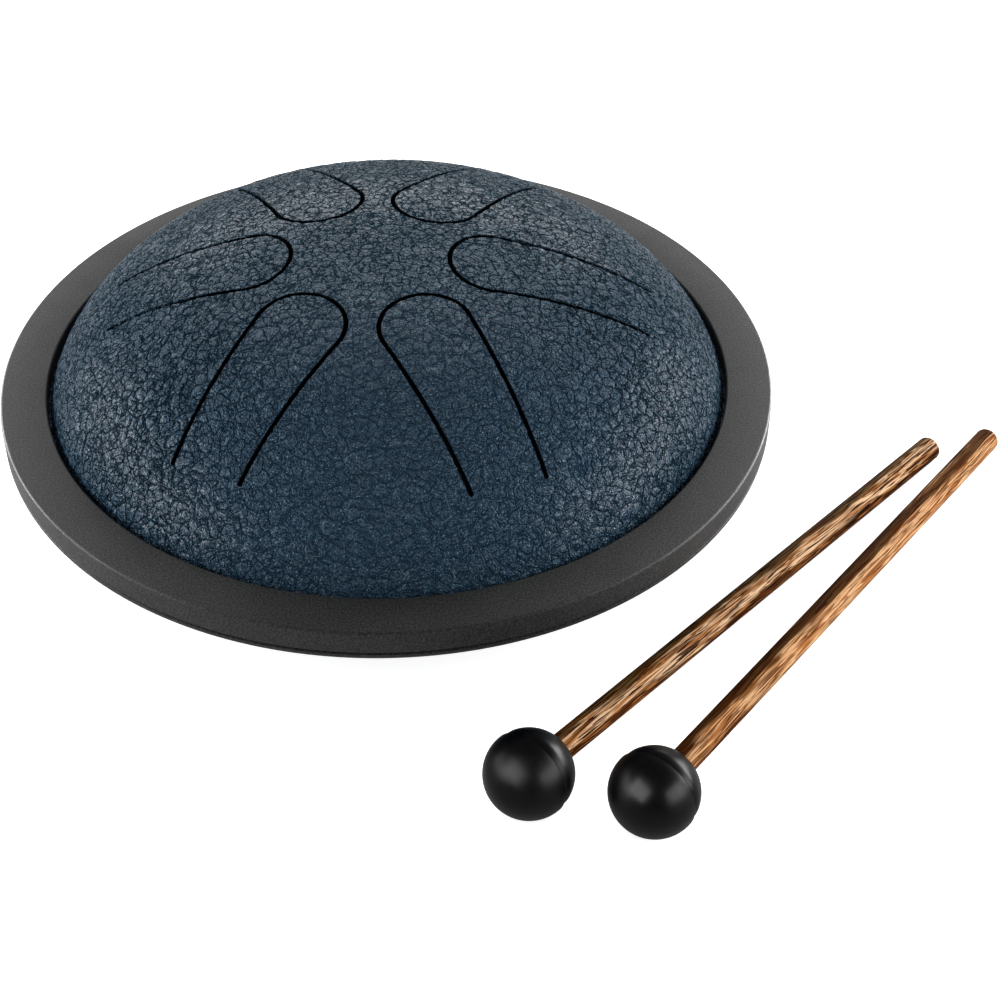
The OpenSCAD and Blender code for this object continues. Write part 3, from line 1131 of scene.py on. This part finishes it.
def stick_wood(name, place, seed, tan, pale, band, stripe, drift, under, streaky, even):
    """Wood with a dark stripe from the height band up, as wide as stripe, which drifts along the stick.

    A second stripe lies below the height under. Heights run across the wood's layers, in millimetres. Streaky
    says how much the tan is streaked, and even says how smooth the dark stripe is.
    """
    material, tree, paint, object_place = new_material(name, Specular_IOR_Level=0.03)
    in_mm, across, streaks = stick_grain(tree, object_place, place, seed)
    along = node(tree, "ShaderNodeSeparateXYZ", {0: in_mm}).outputs["Z"]
    wave = maths(tree, "MULTIPLY", maths(tree, "SUBTRACT", streaks(*wave_streak), 0.5), band_wave)
    height = maths(tree, "ADD", across, wave)
    height = maths(tree, "MULTIPLY_ADD", along, drift, height)
    in_stripe = ramp(tree, height, band - blur, band + blur)
    past_stripe = ramp(tree, height, band + stripe - blur, band + stripe + blur, 1.0, 0.25)
    in_under = ramp(tree, height, under + under_blur, under - under_blur)
    fine = streaks(*fine_streak)
    finer = streaks(*finer_streak)
    lines = ramp(tree, streaks(*line_streak), 0.57, 0.62)
    tone = ramp(tree, streaks(*tone_streak), 0.42, 0.6)
    skin = mixed(tree, tone, tan, pale)
    far = ramp(tree, along, far_start, far_end, 0.0, far_shade_and_tone)
    # Painted shade and browner tone towards the far end.
    skin = mixed(tree, far, skin, wood_brown)
    skin = mixed(tree, maths(tree, "MULTIPLY", ramp(tree, finer, 0.5, 0.55), 0.75), skin, wood_brown)
    skin = mixed(tree, maths(tree, "MULTIPLY", ramp(tree, fine, 0.54, 0.56), streaky), skin, wood_black)
    skin = mixed(tree, lines, skin, pale)
    deep = mixed(tree, ramp(tree, fine, 0.45, 0.55), wood_black, wood_brown)
    deep = mixed(tree, ramp(tree, finer, 0.51, 0.55), deep, wood_olive)
    deep = mixed(tree, even, deep, wood_umber)
    skin = mixed(tree, maths(tree, "MULTIPLY", in_stripe, past_stripe), skin, deep)
    low = mixed(tree, ramp(tree, finer, 0.46, 0.56), wood_black, wood_brown)
    low = mixed(tree, ramp(tree, fine, 0.56, 0.62), low, tan)
    skin = mixed(tree, in_under, skin, low)
    tree.links.new(skin, paint["Base Color"])
    tree.links.new(ramp(tree, fine, 0.4, 0.6, 0.45, 0.6), paint["Roughness"])
    tree.links.new(bumped(tree, finer, pore_h, 0.6), paint["Normal"])
    return material


left_look = {"seed": 0.0, "tan": left_tan, "pale": left_pale, "band": 1.1, "stripe": 9.0}
left_look.update({"drift": -0.004, "under": -1.9, "streaky": 0.9, "even": 0.0})
right_look = {"seed": 31.0, "tan": right_tan, "pale": right_pale, "band": 1.45, "stripe": 2.2}
right_look.update({"drift": 0.009, "under": -2.4, "streaky": 0.4, "even": 0.6})
for side, look in {"left": left_look, "right": right_look}.items():
    wear(sticks[side], stick_wood("stick_wood_" + side, mallet_places[side], **look))
print("materials so far:", len(bpy.data.materials))

# %% [markdown]
# ## Floor, lights and camera
# The floor is plain and pale. Two low softboxes stand close to the drum's left and right, so that their light
# rakes the coat and falls off towards the middle, and a third one behind lights the top. The rim, the heads
# and the sticks each have small boxes of their own, which light nothing else, and a wide one overhead lights
# the floor evenly.

# %% Floor
# The camera sees white paper on a light table, so shadows are faint. Other rays find it plain grey, so that
# little light reaches the drum from below. Under the drum the paper is painted black, as painted shade,
# because light would otherwise come up through the sound hole and show in the slots.
floor_size = 16.0
shade_disc_r = 60 * MM
shade_disc_edge = 10 * MM
paper_white = (0.88, 0.88, 0.88)
paper_grey = (0.38, 0.38, 0.38)
# Painted shade under the drum.
under_drum_shade_black = (0.01, 0.01, 0.01)
paper_glow = 0.75
deselect()
bpy.ops.mesh.primitive_plane_add(size=floor_size)
floor = bpy.context.object
floor.name = "floor"
floor_paint, tree, paint, place = new_material("floor_paper", Roughness=0.9)
seen = tree.nodes.new("ShaderNodeLightPath").outputs["Is Camera Ray"]
spot = node(tree, "ShaderNodeSeparateXYZ", {0: place}).outputs
paper = ramp(tree, far_from_zero(tree, spot[0], spot[1]), shade_disc_r - shade_disc_edge, shade_disc_r)
sheet = mixed(tree, seen, paper_grey, paper_white)
# Painted shade: a black disc under the drum.
tree.links.new(mixed(tree, paper, under_drum_shade_black, sheet), paint["Base Color"])
glow = maths(tree, "MULTIPLY", seen, paper)
tree.links.new(mixed(tree, glow, (0, 0, 0), (1, 1, 1)), paint["Emission Color"])
paint["Emission Strength"].default_value = paper_glow
wear(floor, floor_paint)

# %% Softboxes
# Places and sizes are in metres and powers in watts.
def softbox(name, place, target, wide, high, power):
    """A rectangular area light that points at the target."""
    deselect()
    bpy.ops.object.light_add(type="AREA", location=place)
    lamp = bpy.context.object
    lamp.name = name
    lamp.data.shape = "RECTANGLE"
    lamp.data.size = wide
    lamp.data.size_y = high
    lamp.data.energy = power
    lamp.rotation_euler = (Vector(target) - Vector(place)).to_track_quat("-Z", "Y").to_euler()
    lamp.visible_camera = False
    return lamp


boxes = {
    "left": ((-0.33, -0.02, 0.12), (-0.05, 0.01, 0.03), 0.45, 0.14, 1.0),
    "right": ((0.33, -0.02, 0.12), (0.05, 0.01, 0.03), 0.45, 0.14, 0.98),
    "back": ((0.0, 0.6, 0.24), (0, 0, 0.05), 0.8, 0.12, 1.5),
    "low_left": ((-0.38, 0.20, 0.10), (-0.08, 0.01, 0.028), 0.25, 0.03, 2.8),
    "low_right": ((0.38, 0.20, 0.10), (0.08, 0.01, 0.028), 0.25, 0.03, 3.4),
    "over": ((0.1, -0.1, 1.5), (0.1, 0, 0), 2.4, 2.4, 36),
    "heads_left": ((-0.22, -0.28, 0.24), (0.06, -0.14, 0.01), 0.34, 0.26, 2.9),
    "sticks": ((0.20, -0.42, 0.36), (0.1, -0.05, 0), 0.3, 0.3, 0.55),
    "heads_right": ((0.36, -0.36, 0.22), (0.09, -0.16, 0.01), 0.34, 0.26, 2.2),
    "heads_back": ((0.40, 0.05, 0.16), (0.07, -0.15, 0.01), 0.3, 0.2, 2.4),
}
lamps = {name: softbox("softbox_" + name, *values) for name, values in boxes.items()}

# %% Keep some of the light to some of the pieces
# The overhead box lights only the paper, so it leaves no haze on the drum. Two low strips bring out the rim,
# three small boxes draw the round of the black heads, and one shows the stripes of the sticks. On the dome
# they would flatten its creases.
kept_to = {"over": [floor], "low_left": [rim], "low_right": [rim], "sticks": sticks.values()}
kept_to.update({"heads_" + side: heads.values() for side in ("left", "right", "back")})
for name, pieces in kept_to.items():
    lit_pieces = bpy.data.collections.new("softbox_" + name + "_lights")
    for piece in pieces:
        lit_pieces.objects.link(piece)
    lamps[name].light_linking.receiver_collection = lit_pieces
print("lights:", len(bpy.data.lights))

# %% The studio's walls
# The walls are white to the camera, and give the drum only a little light.
studio_glow = 0.19
world = bpy.data.worlds.new("studio")
bpy.context.scene.world = world
world.use_nodes = True
walls = world.node_tree
background = walls.nodes["Background"].inputs
background["Color"].default_value = (1, 1, 1, 1)
seen = walls.nodes.new("ShaderNodeLightPath").outputs["Is Camera Ray"]
strength = maths(walls, "MULTIPLY_ADD", seen, 1 - studio_glow, studio_glow)
walls.links.new(strength, background["Strength"])
bpy.context.scene.view_settings.view_transform = "Standard"

# %% [markdown]
# ## The camera
# The photograph's own camera was worked out from the rim's oval: how far it was, how steeply it looked down,
# and how it was turned a little about its own three axes.

# %% Put the camera at the photograph's angle
# The distance is in metres, from the middle of the rim's top, and the angles are in degrees.
camera_distance = 0.46943
camera_elevation = 36.780
camera_yaw = -3.088
camera_pitch = -3.970
camera_roll = 1.627
lens = 71.36
sensor = 36.0

look_up = math.radians(camera_elevation)
towards = Vector((0, -math.cos(look_up), math.sin(look_up)))
right = Vector((1, 0, 0))
facing = Matrix((right, towards.cross(right), towards)).transposed()
# It turns about its own upright axis, then about its own level one, and then rolls about its line of sight.
for turn, axis in ((camera_yaw, (0, 1, 0)), (camera_pitch, (1, 0, 0)), (camera_roll, (0, 0, -1))):
    facing = facing @ Matrix.Rotation(math.radians(turn), 3, Vector(axis))

deselect()
bpy.ops.object.camera_add()
camera = bpy.context.object
camera.name = "camera"
camera.data.lens = lens
camera.data.sensor_width = sensor
camera.data.sensor_fit = "HORIZONTAL"
camera.location = camera_distance * towards + Vector((0, 0, rim_top_z))
camera.rotation_euler = facing.to_euler()
bpy.context.scene.camera = camera
print("camera at", [round(value, 4) for value in camera.location])
